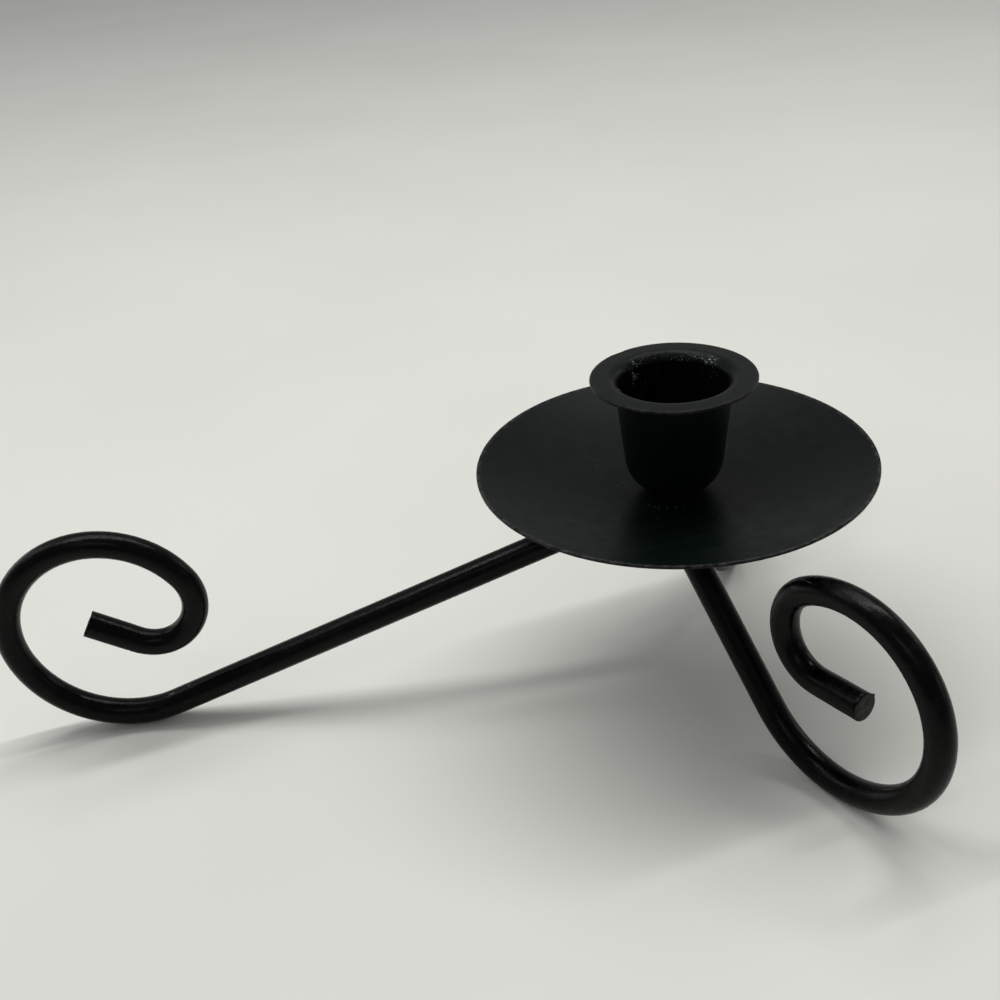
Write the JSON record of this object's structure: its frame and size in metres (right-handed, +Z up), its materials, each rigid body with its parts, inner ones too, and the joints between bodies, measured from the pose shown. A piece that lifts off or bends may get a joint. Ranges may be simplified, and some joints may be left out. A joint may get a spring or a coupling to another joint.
{
  "type": "taper candle holder",
  "caption": "Low taper candle holder: a flared candle cup on a shallow round drip pan, carried by one long and two short round-bar legs that end in open scrolls.",
  "frame": {"origin": "on the table, straight below the centre of the candle cup", "axes": "+Z up along the candle's axis; the long left leg points along -X, which makes X the longest direction; of the short legs the front one points 60 degrees from +X towards -Y and the back one 66 degrees from +X towards +Y; each bar's centre line passes 3.2 mm to the side of the axis, all three on the same hand"},
  "size_m": [0.2057, 0.1468, 0.0794],
  "materials": {
    "pan_paint": "satin black paint on sheet steel",
    "cup_paint": "satin black paint on drawn sheet steel",
    "bar_paint": "satin black paint on bent round bar",
    "hub_paint": "satin black paint on turned steel",
    "weld_paint": "satin black paint over weld bead",
    "screw_black": "black finish on steel screw"
  },
  "bodies": {
    "root": {"drip_pan": "pan_paint", "candle_cup": "cup_paint", "cup_screw": "screw_black", "hub": "hub_paint", "leg_left": "bar_paint", "leg_front": "bar_paint", "leg_back": "bar_paint", "weld_left": "weld_paint", "weld_front": "weld_paint", "weld_back": "weld_paint"}
  },
  "joints": []
}
